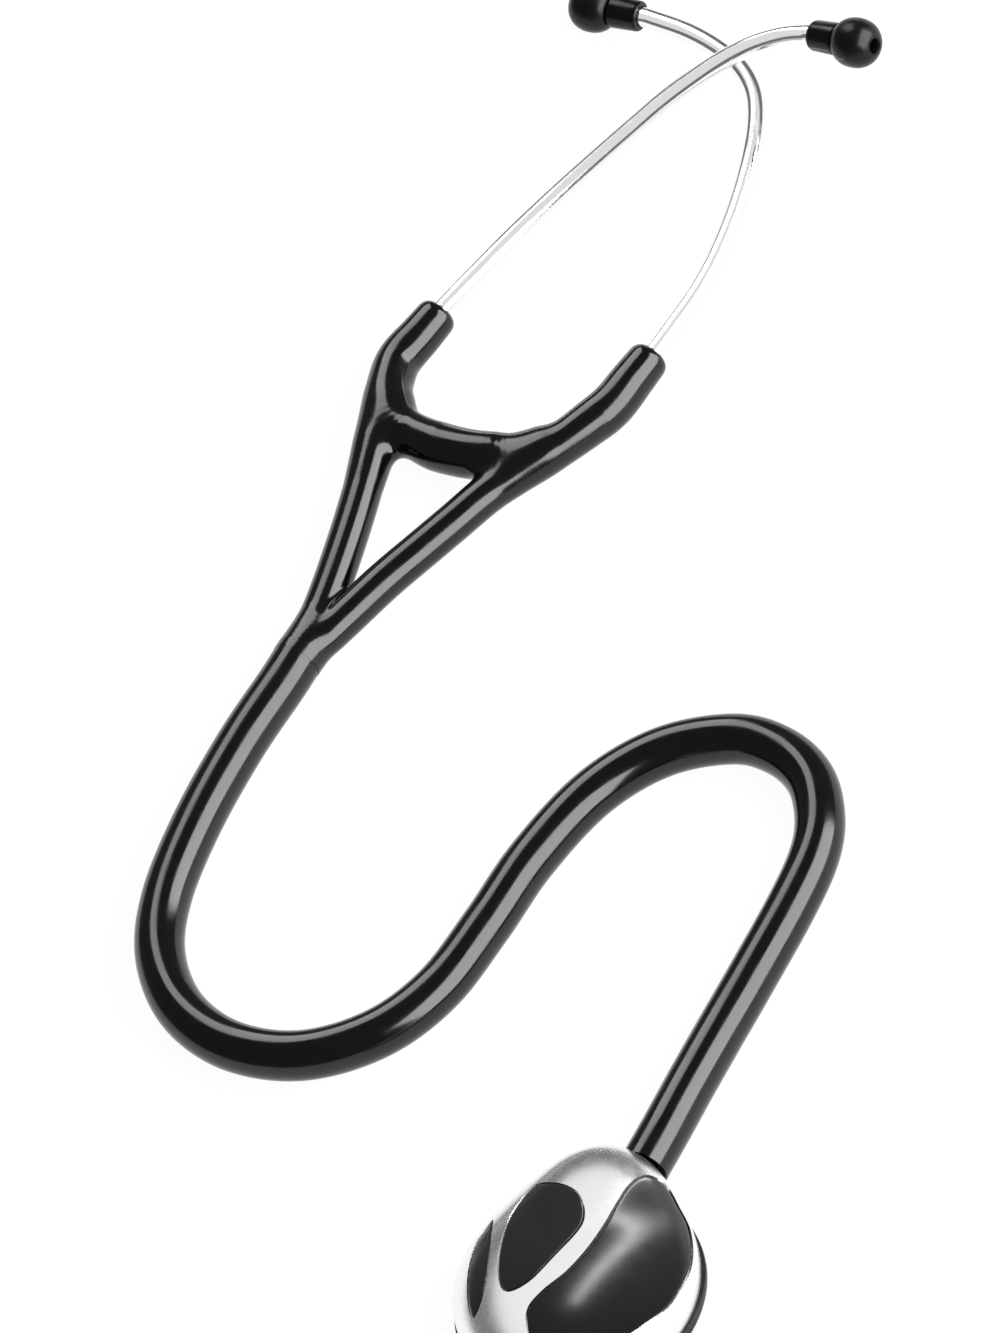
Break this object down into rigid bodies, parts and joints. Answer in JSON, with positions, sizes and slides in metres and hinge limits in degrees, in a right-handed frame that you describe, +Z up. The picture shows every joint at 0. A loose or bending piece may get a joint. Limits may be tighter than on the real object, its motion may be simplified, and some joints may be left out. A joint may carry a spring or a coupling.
{
  "type": "stethoscope",
  "caption": "Acoustic stethoscope: domed chestpiece with a floating diaphragm, one curving hose, and a sprung headset whose bent ear tubes cross and end in soft tips.",
  "frame": {"origin": "centre of the diaphragm's face, on the surface that the stethoscope lies on", "axes": "+Z up, out of the back of the chestpiece; +Y from the chestpiece towards the ear tips; +X to the right"},
  "size_m": [0.1429, 0.3429, 0.0296],
  "materials": {
    "steel": "bright satin steel",
    "inlay_black": "polished black",
    "tubing": "glossy black soft PVC",
    "rim_rubber": "smooth black rubber",
    "tip_rubber": "soft smooth black silicone",
    "collar_plastic": "glossy black hard plastic",
    "diaphragm_plate": "grey glass-fibre and epoxy sheet"
  },
  "bodies": {
    "tubing_and_chestpiece": {"chest_body": "steel", "oval_inlay": "inlay_black", "broad_inlay": "inlay_black", "side_inlay": "inlay_black", "rim_ring": "rim_rubber", "surround": "rim_rubber", "stem": "steel", "hose": "tubing", "y_junction": "tubing", "left_branch": "tubing", "right_branch": "tubing", "yoke_cover": "tubing", "yoke_spring": "steel"},
    "diaphragm": {"diaphragm": "diaphragm_plate"},
    "left_arm": {"left_sleeve": "tubing", "left_tube_socket": "steel"},
    "right_arm": {"right_sleeve": "tubing", "right_tube_socket": "steel"},
    "left_tube": {"left_ear_tube": "steel", "left_tip_collar": "collar_plastic"},
    "right_tube": {"right_ear_tube": "steel", "right_tip_collar": "collar_plastic"},
    "left_tip": {"left_ear_tip": "tip_rubber"},
    "right_tip": {"right_ear_tip": "tip_rubber"}
  },
  "joints": [
    {"name": "diaphragm_press", "type": "slide", "parent": "tubing_and_chestpiece", "child": "diaphragm", "axis": [0, 0, 1], "range_m": [0, 0.0008], "stiffness_N_per_m": 6000},
    {"name": "left_arm_spread", "type": "hinge", "parent": "tubing_and_chestpiece", "child": "left_arm", "pos_m": [-0.0594, 0.222, 0.005], "axis": [0, 0, 1], "range_deg": [0, 30], "stiffness_Nm_per_rad": 0.8},
    {"name": "right_arm_spread", "type": "hinge", "parent": "tubing_and_chestpiece", "child": "right_arm", "pos_m": [-0.0176, 0.2093, 0.005], "axis": [0, 0, -1], "range_deg": [0, 30]},
    {"name": "left_ear_tube_turn", "type": "hinge", "parent": "left_arm", "child": "left_tube", "pos_m": [-0.05, 0.2412, 0.0052], "axis": [-0.587, -0.8079, -0.0523], "range_deg": [-4, 45]},
    {"name": "right_ear_tube_turn", "type": "hinge", "parent": "right_arm", "child": "right_tube", "pos_m": [-0.0054, 0.2256, 0.005], "axis": [0.5299, 0.848, 0], "range_deg": [0, 5]},
    {"name": "left_tip_pull", "type": "slide", "parent": "left_tube", "child": "left_tip", "axis": [0.8911, -0.4155, 0.1822], "range_m": [0, 0.005]},
    {"name": "right_tip_pull", "type": "slide", "parent": "right_tube", "child": "right_tip", "axis": [-0.9455, 0.3256, 0], "range_m": [0, 0.005]}
  ],
  "couplings": [
    {"joint": "right_arm_spread", "follows": "left_arm_spread", "ratio": 1}
  ]
}
